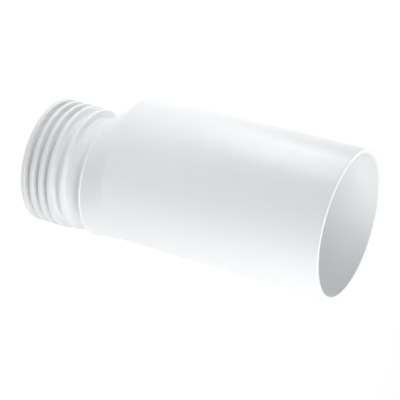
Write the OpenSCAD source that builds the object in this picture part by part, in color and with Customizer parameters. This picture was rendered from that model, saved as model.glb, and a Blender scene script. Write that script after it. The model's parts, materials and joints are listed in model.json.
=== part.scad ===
// Offset extension for a toilet pan connector.
// A plain inlet tube narrows through an eccentric shoulder to an outlet spigot,
// whose axis lies beside that of the tube. A soft sleeve with sealing fins is
// stretched over the spigot and held between the neck and the end lip.
// The origin is the centre of the outlet's end face, +Z runs along the waste way
// to the mouth of the tube, and the tube lies on the -X side of the outlet.

/* [Inlet tube] */
// Outside diameter of the tube
tube_od = 110; // [104:1:125]
// Wall of the tube and of the shoulder
tube_wall = 3.2; // [2.4:0.1:4]
// Straight length of the tube, from its mouth to the shoulder
tube_len = 170; // [80:5:300]
// Radius of the two rounded edges of the mouth
mouth_round = 0.6; // [0.2:0.1:1]

/* [Eccentric shoulder] */
// Distance from the outlet's axis to the tube's axis
axis_offset = 10.5; // [0:0.5:14]
// Length of the shoulder along the tube
shoulder_len = 20; // [14:1:40]
// Outside diameter of the shoulder's small end
shoulder_end_od = 92.6; // [90:0.2:98]
// Radius of the round bead that edges the small end
rim_round = 1.2; // [0.8:0.1:1.6]
// Height of that bead above the shoulder
rim_proud = 0.6; // [0.2:0.1:0.8]

/* [Outlet spigot] */
// Bore of the spigot
spigot_id = 74; // [66:0.5:75]
// Wall of the neck between the shoulder and the seal
neck_wall = 3.5; // [2.8:0.1:4.5]
// Length of the neck that the seal leaves bare
neck_len = 9; // [5:0.5:25]
// Fillet between the neck and the end of the shoulder
neck_fillet = 1.5; // [0.5:0.1:2.5]
// Chamfer that leads from the shoulder into the bore
bore_chamfer = 2; // [0.5:0.1:2.5]
// Wall of the seat under the seal
seat_wall = 2.5; // [2:0.1:2.7]
// Height of the end lip above the seat
lip_proud = 1.1; // [0.6:0.1:2]
// Length of the end lip
lip_len = 2.1; // [1.5:0.1:4]

/* [Finned seal] */
// Wall of the sleeve between the fins
sleeve_wall = 2.45; // [1.8:0.05:2.8]
// Number of fins
fin_count = 4; // [2:1:6]
// Outside diameter over the fins
fin_od = 95; // [92:0.5:104]
// Distance from one fin to the next
fin_pitch = 7.5; // [6:0.1:10]
// Width of the flat land on top of a fin
fin_land = 2.7; // [2:0.1:3.5]
// Rounding of a fin's edges
fin_edge = 0.4; // [0.2:0.05:0.6]
// Fillet at the foot of a fin
fin_foot = 1.5; // [0.6:0.1:1.6]
// Outside diameter of the cuff
cuff_od = 93; // [90:0.5:98]
// Width of the land on top of the cuff
cuff_land = 4.4; // [3:0.1:8]
// Rounding of the cuff's edge beside the neck
cuff_edge = 1; // [0.4:0.1:1.4]
// Width of the groove between the last fin and the cuff
cuff_groove = 6.9; // [5:0.1:10]
// Fillet at the foot of that groove
groove_foot = 2.4; // [1:0.1:2.5]
// Length of the hub beyond the cuff
hub_len = 3; // [2:0.1:5]
// Wall of the hub at its end
hub_wall = 1.45; // [1:0.05:1.8]
// Fillet between the hub and the cuff
hub_fillet = 2.6; // [1:0.1:3]

/* [Fit] */
// Clearance between the seal and the spigot
seal_gap = 0.05; // [0.02:0.01:0.2]

/* [Hidden] */
$fn = 160;

// Number of straight steps in a rounded edge of a profile
ROUND_STEPS = 5;
// Distance by which a cut runs past the face that it opens
PAST = 1;
// Narrowest flat that is left between two fillets
MIN_FLAT = 0.2;

tube_r = tube_od / 2;
bore_r = tube_r - tube_wall;
shoulder_r = shoulder_end_od / 2;
spigot_r = spigot_id / 2;
neck_r = spigot_r + neck_wall;
seat_r = spigot_r + seat_wall;
lip_r = seat_r + lip_proud;

// The sleeve grips the seat, and its fins and its cuff stand on it
sleeve_r = seat_r + seal_gap;
foot_r = sleeve_r + sleeve_wall;
hub_r = sleeve_r + hub_wall;
fin_r = fin_od / 2;
cuff_r = cuff_od / 2;
last_fin_z = (fin_count - 1) * fin_pitch;
cuff_z = last_fin_z + fin_land + cuff_groove;
cuff_face_z = cuff_z + cuff_land;
seal_len = cuff_face_z + hub_len;

// Heights of the body, from the end face of the outlet up to the mouth
seat_top_z = lip_len + seal_len + 2 * seal_gap;
neck_top_z = seat_top_z + neck_len;
rim_z = neck_top_z + rim_round;
shoulder_z = neck_top_z + 2 * rim_round;
tube_z = shoulder_z + shoulder_len;
mouth_z = tube_z + tube_len;

// The inside of the shoulder is its outside moved up the tube, by the amount
// that leaves the full wall on the steepest side
steep_angle = atan((tube_r - shoulder_r + axis_offset) / shoulder_len);
wall_shift = tube_wall * tan(steep_angle / 2);

// Points of an arc about [r, z], from one angle to another
function arc(r, z, radius, from, to) =
    [for (i = [0 : ROUND_STEPS])
        let (a = from + (to - from) * i / ROUND_STEPS)
            [r + radius * cos(a), z + radius * sin(a)]];

// Crest of a rib between two heights, with its lower and upper edges rounded
function crest(low_z, high_z, radius, low_edge, high_edge) = concat(
    arc(radius - low_edge, low_z + low_edge, low_edge, -90, 0),
    arc(radius - high_edge, high_z - high_edge, high_edge, 0, 90)
);

// Groove between two ribs, with a fillet at the foot of each
function groove(low_z, high_z, fillet) =
    let (foot = min(fillet, (high_z - low_z - MIN_FLAT) / 2))
        concat(
            arc(foot_r + foot, low_z + foot, foot, 270, 180),
            arc(foot_r + foot, high_z - foot, foot, 180, 90)
        );

// Crest of the fin at a place in the row, which counts from the outlet's end
function fin(place) =
    let (z = place * fin_pitch)
        crest(z, z + fin_land, fin_r, fin_edge, fin_edge);

// Round frustum whose axis leans, between two level circles
module oblique_frustum(low_z, high_z, low_r, high_r, low_x, high_x) {
    height = high_z - low_z;
    lean = (high_x - low_x) / height;
    multmatrix([[1, 0, lean, low_x], [0, 1, 0, 0], [0, 0, 1, low_z], [0, 0, 0, 1]])
        cylinder(h = height, r1 = low_r, r2 = high_r);
}

// Straight tube, with both edges of its mouth rounded
module tube_outside() {
    translate([-axis_offset, 0, 0])
        rotate_extrude()
            polygon(concat(
                [[0, tube_z], [tube_r, tube_z]],
                arc(tube_r - mouth_round, mouth_z - mouth_round, mouth_round, 0, 90),
                [[0, mouth_z]]
            ));
}

// Bore of the tube, flared by the rounding of the mouth's inner edge
module tube_inside() {
    flare_r = bore_r + mouth_round;
    translate([-axis_offset, 0, 0])
        rotate_extrude()
            polygon(concat(
                [[0, tube_z + wall_shift], [bore_r, tube_z + wall_shift]],
                arc(flare_r, mouth_z - mouth_round, mouth_round, 180, 90),
                [[flare_r, mouth_z + PAST], [0, mouth_z + PAST]]
            ));
}

// Outlet from the end lip to the rim of the shoulder
module spigot_outside() {
    rim_r = shoulder_r + rim_proud - rim_round;
    lip_round = min(lip_proud, lip_len) / 2;
    rotate_extrude()
        polygon(concat(
            [[0, 0]],
            arc(lip_r - lip_round, lip_round, lip_round, -90, 0),
            [[lip_r, lip_len], [seat_r, lip_len], [seat_r, seat_top_z], [neck_r, seat_top_z]],
            arc(neck_r + neck_fillet, neck_top_z - neck_fillet, neck_fillet, 180, 90),
            [[rim_r, neck_top_z], [rim_r, shoulder_z], [0, shoulder_z]]
        ));
    rotate_extrude()
        translate([rim_r, rim_z])
            circle(r = rim_round);
}

// Bore of the spigot and the chamfer that leads into it
module spigot_inside() {
    ledge_z = shoulder_z + wall_shift;
    translate([0, 0, -PAST])
        cylinder(h = ledge_z + 2 * PAST, r = spigot_r);
    translate([0, 0, ledge_z - bore_chamfer])
        cylinder(h = bore_chamfer, r1 = spigot_r, r2 = spigot_r + bore_chamfer);
}

// Rigid moulding: tube, shoulder and spigot in one wall
module body() {
    color([0.93, 0.94, 0.95])
        difference() {
            union() {
                tube_outside();
                oblique_frustum(shoulder_z, tube_z, shoulder_r, tube_r, 0, -axis_offset);
                spigot_outside();
            }
            tube_inside();
            oblique_frustum(shoulder_z + wall_shift, tube_z + wall_shift,
                shoulder_r - tube_wall, bore_r, 0, -axis_offset);
            spigot_inside();
        }
}

// Soft sleeve with its row of fins, the cuff and the hub that meets the neck
module finned_seal() {
    hub_foot = min(hub_fillet, hub_len - MIN_FLAT);
    later_fins = [for (place = [1 : 1 : fin_count - 1])
        each concat(
            groove((place - 1) * fin_pitch + fin_land, place * fin_pitch, fin_foot),
            fin(place)
        )];
    color([0.95, 0.95, 0.95])
        translate([0, 0, lip_len + seal_gap])
            rotate_extrude()
                polygon(concat(
                    [[sleeve_r, 0]],
                    fin(0),
                    later_fins,
                    groove(last_fin_z + fin_land, cuff_z, groove_foot),
                    crest(cuff_z, cuff_face_z, cuff_r, fin_edge, cuff_edge),
                    arc(hub_r + hub_foot, cuff_face_z + hub_foot, hub_foot, 270, 180),
                    [[hub_r, seal_len], [sleeve_r, seal_len]]
                ));
}

body();
finned_seal();
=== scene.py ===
"""Studio scene of an offset pan connector extension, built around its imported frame.

The rigid moulding and the soft finned seal are laid out as fine surfaces over
the frame's two nodes, dressed in procedural plastics, and set on a pale floor
under soft light. Lengths are in metres in the frame's own axes: the origin is
the centre of the outlet's end face, and +Z runs up to the mouth of the tube.
"""

import json
import logging
import math
from dataclasses import dataclass
from enum import Enum

import bpy
import numpy as np
from mathutils import Matrix, Vector


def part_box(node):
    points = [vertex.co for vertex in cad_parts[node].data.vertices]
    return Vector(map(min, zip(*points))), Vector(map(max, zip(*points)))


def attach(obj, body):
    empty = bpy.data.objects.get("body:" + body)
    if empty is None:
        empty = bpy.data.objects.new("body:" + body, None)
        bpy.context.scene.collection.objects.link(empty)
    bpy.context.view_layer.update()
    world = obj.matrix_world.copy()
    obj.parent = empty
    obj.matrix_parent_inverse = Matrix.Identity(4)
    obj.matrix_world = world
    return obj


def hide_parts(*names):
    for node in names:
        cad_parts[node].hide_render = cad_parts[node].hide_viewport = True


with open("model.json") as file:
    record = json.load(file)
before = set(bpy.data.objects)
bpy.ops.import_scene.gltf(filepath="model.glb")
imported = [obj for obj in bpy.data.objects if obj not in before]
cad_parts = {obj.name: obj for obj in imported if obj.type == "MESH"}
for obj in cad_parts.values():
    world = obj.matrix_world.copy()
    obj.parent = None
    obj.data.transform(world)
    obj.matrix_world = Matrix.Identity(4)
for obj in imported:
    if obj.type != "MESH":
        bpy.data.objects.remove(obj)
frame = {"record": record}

Array = np.ndarray
Colour = tuple[float, float, float]
Point = tuple[float, float, float]

LOG = logging.getLogger("pan_connector_extension")
BODY_NODE = "body"
SEAL_NODE = "finned_seal"
ROOT = "root"
MM = 0.001
FULL_TURN = 2.0 * math.pi
OUTLET_AXIS_X = 0.0
WHITE: Colour = (1.0, 1.0, 1.0)


class Slot(Enum):
    """Names of the record's material slots for the body and the seal."""

    BODY = "body_plastic"
    SEAL = "seal_rubber"


@dataclass(frozen=True)
class FrameSizes:
    """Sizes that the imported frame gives, which every piece is built from."""

    tube_axis_x: float
    tube_bore: float
    tube_radius: float
    mouth_height: float
    fin_radius: float
    seal_low: float
    seal_high: float

    @classmethod
    def read(cls) -> "FrameSizes":
        """Reads the sizes from the frame's record and the boxes of its nodes.

        Returns:
            The sizes, in metres.
        """
        mounts = {mount["name"]: mount for mount in frame["record"]["mounts"]}
        body_low, body_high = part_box(BODY_NODE)
        seal_low, seal_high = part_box(SEAL_NODE)
        tube_axis_x = mounts["inlet"]["pos_m"][0]
        return cls(
            tube_axis_x=tube_axis_x,
            tube_bore=mounts["inlet"]["dims"]["r_mm"] * MM,
            tube_radius=tube_axis_x - body_low.x,
            mouth_height=body_high.z,
            fin_radius=mounts["outlet"]["dims"]["r_mm"] * MM,
            seal_low=seal_low.z,
            seal_high=seal_high.z,
        )


class SectionLine:
    """Line drawn stretch by stretch in a half section, as radius and height.

    Straight stretches keep a point a short hold away from each of their ends, so
    that smooth shading stays flat up to the rounded edge that follows.
    """

    HOLD = 0.25 * MM
    LARGEST_HOLD_SHARE = 0.3
    LONGEST_STEP = 5.0 * MM
    BEND_STEP = math.radians(11.25)
    SAME_PLACE = 1e-9

    def __init__(self, radius: float, height: float) -> None:
        """Starts the line at one point.

        Args:
            radius: Distance of the first point from the axis.
            height: Height of the first point.
        """
        self.parts: list[Array] = [np.array([[radius, height]])]

    def straight(self, radius: float, height: float) -> "SectionLine":
        """Adds a straight stretch from the last point.

        Point = last + share * (end - last), for shares 0 to 1 with the holds.

        Args:
            radius: Distance of the stretch's end from the axis.
            height: Height of the stretch's end.

        Returns:
            The line itself.
        """
        start = self.parts[-1][-1]
        run = np.array([radius, height]) - start
        length = float(np.hypot(*run))
        if length < self.SAME_PLACE:
            return self
        hold = min(self.HOLD / length, self.LARGEST_HOLD_SHARE)
        steps = max(1, math.ceil(length / self.LONGEST_STEP))
        inner = np.linspace(hold, 1.0 - hold, steps + 1)
        shares = np.concatenate([inner, [1.0]])
        self.parts.append(start + shares[:, None] * run)
        return self

    def bend(
        self, radius: float, height: float, bend: float, start: float, end: float
    ) -> "SectionLine":
        """Adds a round stretch about a centre, and a straight one that leads to it.

        Point = centre + bend * (cosine, sine) of an angle that goes evenly from
        the start angle to the end angle.

        Args:
            radius: Distance of the bend's centre from the axis.
            height: Height of the bend's centre.
            bend: Radius of the bend.
            start: Angle where the bend starts, in degrees, 0 away from the axis.
            end: Angle where the bend ends, in degrees.

        Returns:
            The line itself.
        """
        low, high = math.radians(start), math.radians(end)
        steps = max(2, math.ceil(abs(high - low) / self.BEND_STEP))
        angles = np.linspace(low, high, steps + 1)
        arc = np.column_stack([radius + bend * np.cos(angles), height + bend * np.sin(angles)])
        self.straight(*arc[0])
        self.parts.append(arc[1:])
        return self

    def points(self) -> Array:
        """Returns every point of the line as rows of radius and height."""
        return np.concatenate(self.parts)


def smooth_ramp(height: Array, low: float, high: float, soft: float) -> Array:
    """Works out a ramp from 0 to 1 whose upper corner is rounded.

    The ramp is (height - low) / (high - low), held at 1 above high. Within soft
    of high the corner is the parabola that meets both straight parts, which is
    the ramp less (distance above high - soft) squared / (4 * soft * span).

    Args:
        height: Heights to work out.
        low: Height where the ramp leaves 0.
        high: Height where the ramp would reach 1.
        soft: Half the height over which the upper corner is rounded.

    Returns:
        The ramp at each height.
    """
    span = high - low
    straight = np.clip((height - low) / span, 0.0, 1.0)
    reach = np.clip(height - high + soft, 0.0, 2.0 * soft)
    rounded = (np.minimum(height, high + soft) - low) / span - reach**2 / (4.0 * soft * span)
    return np.where(np.abs(height - high) < soft, rounded, straight)


def about(points: Array, centre_x: float) -> Array:
    """Adds the X of the upright axis that rows of radius and height turn about."""
    return np.column_stack([points, np.full(len(points), centre_x)])


def distinct(section: Array, apart: float = 1e-7) -> Array:
    """Drops each point of a closed section that lies on the point before it.

    Args:
        section: Rows of values whose first two are radius and height.
        apart: Smallest distance that is kept between neighbours.

    Returns:
        The rows that are kept.
    """
    step = np.hypot(*(section - np.roll(section, 1, axis=0))[:, :2].T)
    return section[step > apart]


def lathe(name: str, section: Array, sides: int) -> bpy.types.Object:
    """Turns a closed section into a closed smooth mesh, ring by ring.

    Point(i, j) = (centre_x(i) + radius(i) cos a(j), radius(i) sin a(j), height(i)),
    where a(j) goes once round in even steps. The section runs up the outside and
    down the inside, so the faces point outwards, and both ways round close.

    Args:
        name: Name of the object.
        section: Rows of radius, height and the X of the ring's centre.
        sides: Number of points in a ring.

    Returns:
        The object, linked to the scene, with its place in its mesh.
    """
    radius, height, centre_x = distinct(section).T[:, :, None]
    turn = np.arange(sides) * FULL_TURN / sides
    x = centre_x + radius * np.cos(turn)
    y = radius * np.sin(turn)
    z = np.broadcast_to(height, x.shape)
    points = np.stack([x, y, z], axis=-1).reshape(-1, 3)

    rings = len(radius)
    ring = np.arange(rings)[:, None]
    side = np.arange(sides)[None, :]
    next_ring = (ring + 1) % rings
    next_side = (side + 1) % sides
    corners = np.stack(
        [
            ring * sides + side,
            ring * sides + next_side,
            next_ring * sides + next_side,
            next_ring * sides + side,
        ],
        axis=-1,
    ).reshape(-1, 4)

    mesh = bpy.data.meshes.new(name)
    mesh.from_pydata(points.tolist(), [], corners.tolist())
    mesh.polygons.foreach_set("use_smooth", np.ones(len(corners), bool))
    mesh.validate()
    piece = bpy.data.objects.new(name, mesh)
    bpy.context.scene.collection.objects.link(piece)
    return piece


def opaque(colour: Colour) -> tuple[float, float, float, float]:
    """Returns a colour with the full opacity that Blender's sockets ask for."""
    return (*colour, 1.0)


class NodeSheet:
    """Node tree of a material or a world, with short calls to add and join nodes."""

    NOISE_LOW = 0.3
    NOISE_HIGH = 0.7
    BLEND_NONE_INPUT = 6
    BLEND_FULL_INPUT = 7
    BLEND_OUTPUT = 2

    def __init__(self, owner: bpy.types.Material | bpy.types.World) -> None:
        """Clears the nodes of a material or a world.

        Args:
            owner: Material or world that the nodes belong to.
        """
        owner.use_nodes = True
        self.tree = owner.node_tree
        self.tree.nodes.clear()

    def add(
        self,
        kind: str,
        *ordered: object,
        settings: dict[str, str] | None = None,
        **named: object,
    ) -> bpy.types.Node:
        """Adds a node, and sets or joins its inputs.

        Args:
            kind: Blender's name of the node type.
            *ordered: Values or output sockets for its first inputs, in order.
            settings: Properties of the node itself.
            **named: Values or output sockets for its inputs by name, with an
                underscore for each space in the name.

        Returns:
            The node.
        """
        node = self.tree.nodes.new(kind)
        for key, value in (settings or {}).items():
            setattr(node, key, value)
        inputs = list(zip(node.inputs, ordered))
        inputs += [(node.inputs[key.replace("_", " ")], value) for key, value in named.items()]
        for socket, value in inputs:
            if isinstance(value, bpy.types.NodeSocket):
                self.tree.links.new(value, socket)
            else:
                socket.default_value = value
        return node

    def noise(self, size: float, detail: float, roughness: float = 0.5) -> bpy.types.NodeSocket:
        """Adds a noise pattern on the piece's own coordinates.

        Args:
            size: Size of the pattern's largest features, in metres.
            detail: Number of finer layers.
            roughness: Weight of each finer layer.

        Returns:
            The pattern's value, about 0 to 1.
        """
        place = self.add("ShaderNodeTexCoord").outputs["Object"]
        node = self.add(
            "ShaderNodeTexNoise",
            Vector=place,
            Scale=1.0 / size,
            Detail=detail,
            Roughness=roughness,
        )
        return node.outputs["Fac"]

    def between(self, value: bpy.types.NodeSocket, low: float, high: float) -> bpy.types.NodeSocket:
        """Maps the middle of a noise value onto a range.

        Args:
            value: Noise value to map.
            low: Result where the noise is low.
            high: Result where the noise is high.

        Returns:
            The mapped value.
        """
        node = self.add(
            "ShaderNodeMapRange",
            Value=value,
            From_Min=self.NOISE_LOW,
            From_Max=self.NOISE_HIGH,
            To_Min=low,
            To_Max=high,
        )
        return node.outputs["Result"]

    def blend(self, share: bpy.types.NodeSocket, none: Colour, full: Colour) -> bpy.types.NodeSocket:
        """Blends two colours by a pattern.

        Args:
            share: Pattern that gives the second colour's share, 0 to 1.
            none: Colour where the share is 0.
            full: Colour where the share is 1.

        Returns:
            The blended colour.
        """
        node = self.add("ShaderNodeMix", settings={"data_type": "RGBA"}, Factor=share)
        node.inputs[self.BLEND_NONE_INPUT].default_value = opaque(none)
        node.inputs[self.BLEND_FULL_INPUT].default_value = opaque(full)
        return node.outputs[self.BLEND_OUTPUT]

    def bump(
        self, height: bpy.types.NodeSocket, depth: float, under: bpy.types.NodeSocket | None = None
    ) -> bpy.types.NodeSocket:
        """Adds a bump of a real depth.

        Args:
            height: Pattern of heights, 0 to 1.
            depth: Height in metres that 1 stands for.
            under: Normal of a bump that this one lies on.

        Returns:
            The bumped normal.
        """
        node = self.add("ShaderNodeBump", Height=height, Strength=1.0, Distance=depth)
        if under is not None:
            self.tree.links.new(under, node.inputs["Normal"])
        return node.outputs["Normal"]

    def shown(self) -> bpy.types.NodeSocket:
        """Adds the test for rays that show the background itself.

        Returns:
            1 for camera, glossy and transmission rays, and 0 for others.
        """
        ray = self.add("ShaderNodeLightPath").outputs
        larger = {"operation": "MAXIMUM"}
        first = self.add(
            "ShaderNodeMath", ray["Is Camera Ray"], ray["Is Glossy Ray"], settings=larger
        )
        second = self.add(
            "ShaderNodeMath", first.outputs[0], ray["Is Transmission Ray"], settings=larger
        )
        return second.outputs[0]


@dataclass(frozen=True)
class WhiteMoulding:
    """Finish of a white moulded surface, rigid or soft.

    The flow of the melt clouds the tone a little over centimetres, the mould's
    polish varies the gloss, and a fine grain on a slow unevenness bends the
    reflections.
    """

    name: str
    light_tone: Colour
    dark_tone: Colour
    cloud_size: float
    gloss_rough: float
    matt_rough: float
    polish_size: float
    grain_size: float
    grain_depth: float
    swell_size: float
    swell_depth: float
    ior: float
    cloud_detail: float = 2.0
    polish_detail: float = 3.0
    swell_detail: float = 1.0
    grain_detail: float = 4.0
    grain_weight: float = 0.6

    def material(self) -> bpy.types.Material:
        """Builds the finish as a material.

        Returns:
            The material.
        """
        material = bpy.data.materials.new(self.name)
        sheet = NodeSheet(material)
        cloud = sheet.between(sheet.noise(self.cloud_size, self.cloud_detail), 0.0, 1.0)
        tone = sheet.blend(cloud, self.dark_tone, self.light_tone)
        polish = sheet.noise(self.polish_size, self.polish_detail)
        rough = sheet.between(polish, self.gloss_rough, self.matt_rough)
        swell = sheet.bump(sheet.noise(self.swell_size, self.swell_detail), self.swell_depth)
        grain_heights = sheet.noise(self.grain_size, self.grain_detail, self.grain_weight)
        grain = sheet.bump(grain_heights, self.grain_depth, swell)
        shader = sheet.add(
            "ShaderNodeBsdfPrincipled",
            Base_Color=tone,
            Roughness=rough,
            Normal=grain,
            IOR=self.ior,
        )
        sheet.add("ShaderNodeOutputMaterial", Surface=shader.outputs["BSDF"])
        return material


RIGID_WHITE = WhiteMoulding(
    name="rigid_white_plastic",
    light_tone=(0.900, 0.915, 0.920),
    dark_tone=(0.880, 0.897, 0.903),
    cloud_size=60 * MM,
    gloss_rough=0.30,
    matt_rough=0.37,
    polish_size=14 * MM,
    grain_size=0.5 * MM,
    grain_depth=0.004 * MM,
    swell_size=45 * MM,
    swell_depth=0.03 * MM,
    ior=1.49,
)

SOFT_WHITE = WhiteMoulding(
    name="soft_white_rubber",
    light_tone=(0.890, 0.900, 0.905),
    dark_tone=(0.865, 0.876, 0.882),
    cloud_size=30 * MM,
    gloss_rough=0.36,
    matt_rough=0.46,
    polish_size=9 * MM,
    grain_size=0.35 * MM,
    grain_depth=0.006 * MM,
    swell_size=18 * MM,
    swell_depth=0.015 * MM,
    ior=1.47,
)


@dataclass(frozen=True)
class RigidMoulding:
    """The tube, the eccentric shoulder and the spigot, moulded in one wall."""

    frame_sizes: FrameSizes
    mouth_round: float = 0.6 * MM
    shoulder_length: float = 20 * MM
    shoulder_end: float = 46.3 * MM
    shoulder_soft: float = 1.2 * MM
    rim_round: float = 1.2 * MM
    rim_proud: float = 0.6 * MM
    neck_radius: float = 40.5 * MM
    neck_length: float = 9 * MM
    neck_fillet: float = 1.5 * MM
    seat_radius: float = 39.5 * MM
    seal_clearance: float = 0.05 * MM
    lip_radius: float = 40.6 * MM
    lip_round: float = 0.55 * MM
    spigot_bore: float = 37 * MM
    bore_chamfer: float = 2 * MM
    sides: int = 288
    shoulder_rows: int = 24
    corner_rows: int = 9

    @property
    def lip_height(self) -> float:
        """Height of the end lip's upper face."""
        return self.frame_sizes.seal_low - self.seal_clearance

    @property
    def seat_top(self) -> float:
        """Height of the step that the seal's hub meets."""
        return self.frame_sizes.seal_high + self.seal_clearance

    @property
    def neck_top(self) -> float:
        """Height where the neck meets the end of the shoulder."""
        return self.seat_top + self.neck_length

    @property
    def shoulder_low(self) -> float:
        """Height of the shoulder's small end."""
        return self.neck_top + 2.0 * self.rim_round

    @property
    def shoulder_high(self) -> float:
        """Height where the shoulder meets the straight tube."""
        return self.shoulder_low + self.shoulder_length

    @property
    def rim_end(self) -> float:
        """Angle at which the round bead meets the shoulder, in degrees."""
        reach = (self.rim_round - self.rim_proud) / self.rim_round
        return math.degrees(math.acos(reach))

    @property
    def wall(self) -> float:
        """Thickness of the tube's wall."""
        return self.frame_sizes.tube_radius - self.frame_sizes.tube_bore

    @property
    def wall_shift(self) -> float:
        """Height by which the shoulder's inside stands above its outside."""
        fall = self.frame_sizes.tube_radius - self.shoulder_end - self.frame_sizes.tube_axis_x
        return self.wall * math.tan(math.atan2(fall, self.shoulder_length) / 2.0)

    def _shoulder(self, end_radius: float, tube_radius: float, lift: float) -> Array:
        """Works out one side of the shoulder, from its small end up.

        Ramp = 0 at the small end and 1 at the tube, with a rounded upper corner.
        Radius = end radius + ramp * (tube radius - end radius), and the centre
        leans from the outlet's axis to the tube's axis by the same ramp. Rows
        stand close in the corner, and half its reach clear below it.

        Args:
            end_radius: Radius at the small end.
            tube_radius: Radius of the tube.
            lift: Height by which this side stands above the outside.

        Returns:
            Rows of radius, height and the centre's X.
        """
        low = self.shoulder_low + lift
        high = self.shoulder_high + lift
        soft = self.shoulder_soft
        first = np.array([low, low + SectionLine.HOLD])
        slope = np.linspace(low, high - 1.5 * soft, self.shoulder_rows)[1:]
        corner = np.linspace(high - soft, high + soft, self.corner_rows)
        height = np.concatenate([first, slope, corner, [high + 2.0 * soft]])
        ramp = smooth_ramp(height, low, high, soft)
        radius = end_radius + ramp * (tube_radius - end_radius)
        centre = OUTLET_AXIS_X + ramp * (self.frame_sizes.tube_axis_x - OUTLET_AXIS_X)
        return np.column_stack([radius, height, centre])

    def _outside(self) -> Array:
        """Works out the outside, from the spigot's end face up to the mouth.

        The lip, the seat, the neck and the bead turn about the outlet's axis, and
        the tube about its own. Each is a line of straights and arcs in its half
        section, and the shoulder joins them.

        Returns:
            Rows of radius, height and the centre's X.
        """
        rim_centre = self.shoulder_end + self.rim_proud - self.rim_round
        spigot = (
            SectionLine(self.spigot_bore, 0.0)
            .bend(self.lip_radius - self.lip_round, self.lip_round, self.lip_round, -90, 0)
            .straight(self.lip_radius, self.lip_height)
            .straight(self.seat_radius, self.lip_height)
            .straight(self.seat_radius, self.seat_top)
            .straight(self.neck_radius, self.seat_top)
            .bend(
                self.neck_radius + self.neck_fillet,
                self.neck_top - self.neck_fillet,
                self.neck_fillet,
                180,
                90,
            )
            .bend(rim_centre, self.neck_top + self.rim_round, self.rim_round, -90, self.rim_end)
            .points()
        )
        rim_top = self.neck_top + self.rim_round * (1.0 + math.sin(math.radians(self.rim_end)))
        shoulder = self._shoulder(self.shoulder_end, self.frame_sizes.tube_radius, 0.0)
        shoulder = shoulder[shoulder[:, 1] > rim_top + SectionLine.HOLD]
        tube = (
            SectionLine(self.frame_sizes.tube_radius, float(shoulder[-1, 1]))
            .bend(
                self.frame_sizes.tube_radius - self.mouth_round,
                self.frame_sizes.mouth_height - self.mouth_round,
                self.mouth_round,
                0,
                90,
            )
            .points()
        )
        tube_axis_x = self.frame_sizes.tube_axis_x
        return np.concatenate([about(spigot, OUTLET_AXIS_X), shoulder, about(tube, tube_axis_x)])

    def _inside(self) -> Array:
        """Works out the inside, from the mouth down to the spigot's end face.

        The shoulder's inside is its outside made smaller by the wall and lifted by
        wall_shift, and a chamfer leads from the ledge below it into the spigot.

        Returns:
            Rows of radius, height and the centre's X.
        """
        bore = self.frame_sizes.tube_bore
        ledge_radius = self.shoulder_end - self.wall
        mouth_height = self.frame_sizes.mouth_height
        shoulder = self._shoulder(ledge_radius, bore, self.wall_shift)[::-1]
        ledge = float(shoulder[-1, 1])
        tube = (
            SectionLine(self.frame_sizes.tube_radius - self.mouth_round, mouth_height)
            .bend(
                bore + self.mouth_round,
                mouth_height - self.mouth_round,
                self.mouth_round,
                90,
                180,
            )
            .straight(bore, float(shoulder[0, 1]))
            .points()
        )
        spigot = (
            SectionLine(ledge_radius, ledge)
            .straight(self.spigot_bore + self.bore_chamfer, ledge)
            .straight(self.spigot_bore, ledge - self.bore_chamfer)
            .straight(self.spigot_bore, 0.0)
            .points()
        )
        tube_axis_x = self.frame_sizes.tube_axis_x
        return np.concatenate([about(tube, tube_axis_x), shoulder, about(spigot, OUTLET_AXIS_X)])

    def build(self) -> bpy.types.Object:
        """Builds and dresses the moulding in place of its node.

        Returns:
            The piece.
        """
        section = np.concatenate([self._outside(), self._inside()])
        piece = lathe("rigid_moulding", section, self.sides)
        piece.data.materials.append(RIGID_WHITE.material())
        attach(piece, ROOT)
        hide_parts(BODY_NODE)
        return piece


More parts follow.
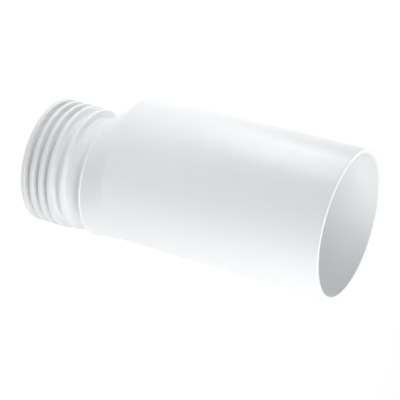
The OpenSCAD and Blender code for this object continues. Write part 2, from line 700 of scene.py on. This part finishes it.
@dataclass(frozen=True)
class FinnedSeal:
    """The soft sleeve with its row of fins, its cuff and its hub.

    The cuff is narrower than that of the node it stands for, with a straight
    flank down to a hub that is nearly flush with the neck.
    """

    frame_sizes: FrameSizes
    sleeve_radius: float = 39.55 * MM
    foot_radius: float = 42 * MM
    hub_radius: float = 40.6 * MM
    hub_fillet: float = 0.5 * MM
    fin_count: int = 4
    fin_pitch: float = 7.5 * MM
    fin_land: float = 2.7 * MM
    fin_edge: float = 0.4 * MM
    fin_foot: float = 1.5 * MM
    cuff_radius: float = 46.5 * MM
    cuff_land: float = 2.5 * MM
    cuff_edge: float = 0.5 * MM
    cuff_groove: float = 6.9 * MM
    groove_foot: float = 2.4 * MM
    sides: int = 288

    def _crest(
        self, line: SectionLine, low: float, high: float, radius: float, upper_edge: float
    ) -> None:
        """Draws the flat top of a rib with its two rounded edges.

        Args:
            line: Line to add to.
            low: Height of the rib's lower flank.
            high: Height of its upper flank.
            radius: Radius of its top.
            upper_edge: Rounding of its upper edge.
        """
        line.bend(radius - self.fin_edge, low + self.fin_edge, self.fin_edge, -90, 0)
        line.bend(radius - upper_edge, high - upper_edge, upper_edge, 0, 90)

    def _groove(self, line: SectionLine, low: float, high: float, foot: float) -> None:
        """Draws the floor between two ribs with a fillet at each foot.

        Args:
            line: Line to add to.
            low: Height of the lower rib's upper flank.
            high: Height of the upper rib's lower flank.
            foot: Fillet at the foot of each rib.
        """
        line.bend(self.foot_radius + foot, low + foot, foot, 270, 180)
        line.bend(self.foot_radius + foot, high - foot, foot, 180, 90)

    def _section(self) -> Array:
        """Works out the closed section, up the outside and down the inside.

        The land of fin i runs from base + i * pitch over the width of a land, at
        the fins' radius. Between the lands the line goes down to the foot radius,
        and the cuff and the hub follow above the last groove.

        Returns:
            Rows of radius and height.
        """
        base = self.frame_sizes.seal_low
        top = self.frame_sizes.seal_high
        line = SectionLine(self.sleeve_radius, base)
        for place in range(self.fin_count):
            low = base + place * self.fin_pitch
            if place > 0:
                self._groove(line, low - self.fin_pitch + self.fin_land, low, self.fin_foot)
            self._crest(line, low, low + self.fin_land, self.frame_sizes.fin_radius, self.fin_edge)
        last_fin = base + (self.fin_count - 1) * self.fin_pitch + self.fin_land
        cuff_low = last_fin + self.cuff_groove
        cuff_high = cuff_low + self.cuff_land
        fillet = self.hub_fillet
        self._groove(line, last_fin, cuff_low, self.groove_foot)
        self._crest(line, cuff_low, cuff_high, self.cuff_radius, self.cuff_edge)
        line.bend(self.hub_radius + fillet, cuff_high + fillet, fillet, 270, 180)
        line.straight(self.hub_radius, top)
        line.straight(self.sleeve_radius, top)
        line.straight(self.sleeve_radius, base)
        return line.points()

    def build(self) -> bpy.types.Object:
        """Builds and dresses the seal in place of its node.

        Returns:
            The piece.
        """
        piece = lathe("soft_finned_seal", about(self._section(), OUTLET_AXIS_X), self.sides)
        piece.data.materials.append(SOFT_WHITE.material())
        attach(piece, ROOT)
        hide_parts(SEAL_NODE)
        return piece


@dataclass(frozen=True)
class Softbox:
    """Rectangular lamp that is aimed at a point and isn't seen itself.

    Its share is the light that it brings to a surface facing it at the aim, where
    1 shows a colour as bright as it is written.
    """

    name: str
    place: Point
    aim: Point
    width: float
    height: float
    share: float

    def build(self) -> bpy.types.Object:
        """Makes the lamp.

        Power = share * (pi * distance) squared, which lights a facing white
        surface at the aim to that share of white.

        Returns:
            The lamp's object.
        """
        line = Vector(self.aim) - Vector(self.place)
        data = bpy.data.lights.new(self.name, "AREA")
        data.shape = "RECTANGLE"
        data.size = self.width
        data.size_y = self.height
        data.energy = self.share * (math.pi * line.length) ** 2
        lamp = bpy.data.objects.new(self.name, data)
        lamp.location = self.place
        lamp.rotation_mode = "QUATERNION"
        lamp.rotation_quaternion = line.to_track_quat("-Z", "Y")
        lamp.visible_camera = False
        bpy.context.scene.collection.objects.link(lamp)
        return lamp


@dataclass(frozen=True)
class Studio:
    """Pale floor, even surroundings, softboxes and the camera."""

    frame_sizes: FrameSizes
    surround_share: float = 0.26
    surround_colour: Colour = (0.97, 0.99, 1.0)
    floor_reach: float = 6.0
    floor_colour: Colour = (0.80, 0.80, 0.80)
    floor_glow: float = 0.88
    floor_shade: float = 0.22
    speckle_size: float = 3 * MM
    speckle_detail: float = 3.0
    speckle_dark: float = 0.985
    fins_aim: float = 0.05
    upper_aim: float = 0.18
    camera_out: float = 0.99955
    camera_up: float = 0.33236
    look_azimuth: float = 0.6254
    look_elevation: float = 24.1518
    camera_roll: float = 105.5278
    camera_near: float = 0.05
    camera_far: float = 50.0
    lens: float = 135.0
    sensor: float = 36.0

    def _surroundings(self) -> None:
        """Sets the world: white where it is seen, dimmer where it lights."""
        world = bpy.data.worlds.new("surroundings")
        bpy.context.scene.world = world
        sheet = NodeSheet(world)
        light = sheet.add(
            "ShaderNodeBackground",
            Color=opaque(self.surround_colour),
            Strength=self.surround_share,
        )
        seen = sheet.add("ShaderNodeBackground", Color=opaque(WHITE), Strength=1.0)
        mix = sheet.add("ShaderNodeMixShader", sheet.shown(), light.outputs[0], seen.outputs[0])
        sheet.add("ShaderNodeOutputWorld", Surface=mix.outputs[0])

    def _floor_material(self) -> bpy.types.Material:
        """Builds the floor's finish: white where it is seen, less its shadows.

        Where it is seen it is a glow plus the light that a dark grey gives back,
        so that it stays white in full light and only a shadow takes it below.

        Returns:
            The material.
        """
        material = bpy.data.materials.new("pale_floor")
        sheet = NodeSheet(material)
        noise = sheet.noise(self.speckle_size, self.speckle_detail)
        speckle = sheet.between(noise, self.speckle_dark, 1.0)
        tint = sheet.add(
            "ShaderNodeVectorMath",
            self.floor_colour,
            settings={"operation": "SCALE"},
            Scale=speckle,
        )
        lit = sheet.add("ShaderNodeBsdfDiffuse", Color=tint.outputs[0])
        glow = sheet.add("ShaderNodeEmission", Color=opaque(WHITE), Strength=self.floor_glow)
        shade = sheet.add("ShaderNodeBsdfDiffuse", Color=opaque((self.floor_shade,) * 3))
        seen = sheet.add("ShaderNodeAddShader", glow.outputs[0], shade.outputs[0])
        mix = sheet.add("ShaderNodeMixShader", sheet.shown(), lit.outputs[0], seen.outputs[0])
        sheet.add("ShaderNodeOutputMaterial", Surface=mix.outputs[0])
        return material

    def _floor(self) -> bpy.types.Object:
        """Lays the floor at the height that the part stands on.

        Returns:
            The floor.
        """
        reach = self.floor_reach
        square = ((-reach, -reach), (reach, -reach), (reach, reach), (-reach, reach))
        mesh = bpy.data.meshes.new("floor")
        mesh.from_pydata([(x, y, 0.0) for x, y in square], [], [(0, 1, 2, 3)])
        mesh.materials.append(self._floor_material())
        floor = bpy.data.objects.new("floor", mesh)
        bpy.context.scene.collection.objects.link(floor)
        return floor

    def _softboxes(self) -> tuple[Softbox, ...]:
        """Lists the lamps, each aimed at a height on the tube's axis.

        Returns:
            The lamps, from the lowest up.
        """
        axis_x = self.frame_sizes.tube_axis_x
        fins = (axis_x, 0.0, self.fins_aim)
        upper = (axis_x, 0.0, self.upper_aim)
        middle = (axis_x, 0.0, self.frame_sizes.mouth_height / 2.0)
        return (
            Softbox(
                name="low_left_softbox",
                place=(-0.394, -0.069, 0.07),
                aim=fins,
                width=0.35,
                height=0.14,
                share=0.41,
            ),
            Softbox(
                name="right_softbox",
                place=(0.448, -0.039, 0.45),
                aim=upper,
                width=0.35,
                height=0.30,
                share=0.46,
            ),
            Softbox(
                name="high_right_softbox",
                place=(0.536, -0.450, 0.75),
                aim=middle,
                width=0.5,
                height=0.5,
                share=0.21,
            ),
            Softbox(
                name="high_back_softbox",
                place=(-0.400, 0.693, 0.90),
                aim=middle,
                width=0.6,
                height=0.6,
                share=0.48,
            ),
            Softbox(
                name="high_front_softbox",
                place=(0.0, -1.0, 1.10),
                aim=middle,
                width=0.6,
                height=0.4,
                share=0.20,
            ),
        )

    def _camera(self) -> bpy.types.Object:
        """Sets the camera to the photograph's view.

        The look direction comes from an azimuth, which is 0 along +Y, and an
        elevation. The picture is then rolled about that direction.

        Returns:
            The camera.
        """
        azimuth, elevation = math.radians(self.look_azimuth), math.radians(self.look_elevation)
        look = Vector(
            (
                math.sin(azimuth) * math.cos(elevation),
                math.cos(azimuth) * math.cos(elevation),
                -math.sin(elevation),
            )
        )
        level = look.to_track_quat("-Z", "Y").to_matrix()
        roll = Matrix.Rotation(math.radians(self.camera_roll), 3, "Z")
        data = bpy.data.cameras.new("photo_view")
        data.lens = self.lens
        data.sensor_width = self.sensor
        data.dof.use_dof = False
        data.clip_start = self.camera_near
        data.clip_end = self.camera_far
        camera = bpy.data.objects.new("photo_view", data)
        camera.location = (
            self.frame_sizes.tube_axis_x,
            -self.camera_out,
            self.frame_sizes.mouth_height + self.camera_up,
        )
        camera.rotation_euler = (level @ roll).to_euler()
        bpy.context.scene.collection.objects.link(camera)
        bpy.context.scene.camera = camera
        return camera

    def build(self) -> None:
        """Sets up the view, the surroundings, the floor and the lamps."""
        bpy.context.scene.view_settings.view_transform = "Standard"
        self._camera()
        self._surroundings()
        self._floor()
        for softbox in self._softboxes():
            softbox.build()


def main() -> None:
    """Reads the frame's sizes, builds the studio and the pieces in order, and logs each piece's
    faces.
    """
    logging.basicConfig(level=logging.INFO, format="%(name)s: %(message)s")
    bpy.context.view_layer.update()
    sizes = FrameSizes.read()
    Studio(sizes).build()
    for maker in (RigidMoulding(sizes), FinnedSeal(sizes)):
        piece = maker.build()
        LOG.info("%s: %d faces", piece.name, len(piece.data.polygons))


if __name__ == "__main__":
    main()
